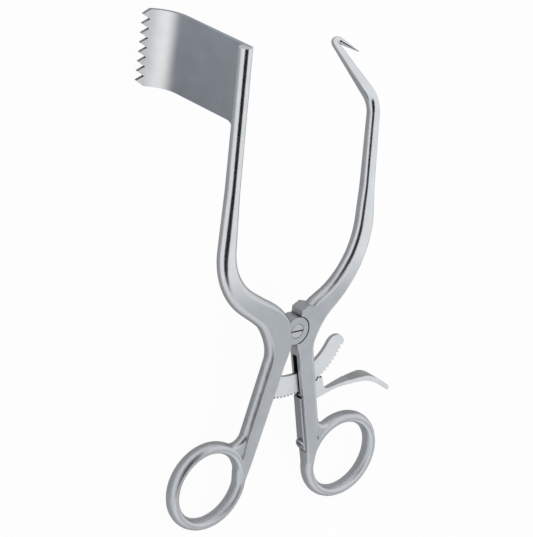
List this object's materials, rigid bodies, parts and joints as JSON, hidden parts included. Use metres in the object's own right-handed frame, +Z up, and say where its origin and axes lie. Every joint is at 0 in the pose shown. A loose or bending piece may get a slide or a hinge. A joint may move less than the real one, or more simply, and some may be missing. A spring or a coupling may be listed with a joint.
{
  "type": "hemilaminectomy retractor",
  "caption": "Self-holding surgical retractor with two ringed arms, a broad toothed blade, a sharp hook and a curved ratchet bar with a release lever.",
  "frame": {"origin": "middle of the bounding box, on the table that both rings and the lowest blade tooth stand on", "axes": "+Y from the finger rings towards the blades, +Z up with the screw head's side uppermost, +X towards the hook arm"},
  "size_m": [0.0986, 0.1888, 0.0558],
  "materials": {
    "satin_steel": "satin",
    "bright_steel": "fine ground"
  },
  "bodies": {
    "blade_arm": {"blade_arm": "satin_steel", "toothed_blade": "satin_steel", "ratchet_bar": "bright_steel", "ratchet_bar_rivet": "satin_steel"},
    "hook_arm": {"hook_arm": "satin_steel", "pivot_screw": "bright_steel", "lever_pin": "bright_steel", "leaf_spring": "bright_steel", "spring_screw": "bright_steel"},
    "release_lever": {"release_lever": "bright_steel"}
  },
  "joints": [
    {"name": "arms_pivot", "type": "hinge", "parent": "blade_arm", "child": "hook_arm", "pos_m": [-0.00082, -0.02375, 0.0228], "axis": [0, 0.2803, -0.9599], "range_deg": [-17.5, 24.5]},
    {"name": "release", "type": "hinge", "parent": "hook_arm", "child": "release_lever", "pos_m": [0.00874, -0.05105, 0.01483], "axis": [0, 0.2803, -0.9599], "range_deg": [0, 12], "stiffness_Nm_per_rad": 0.4, "springref_deg": -5.73}
  ]
}
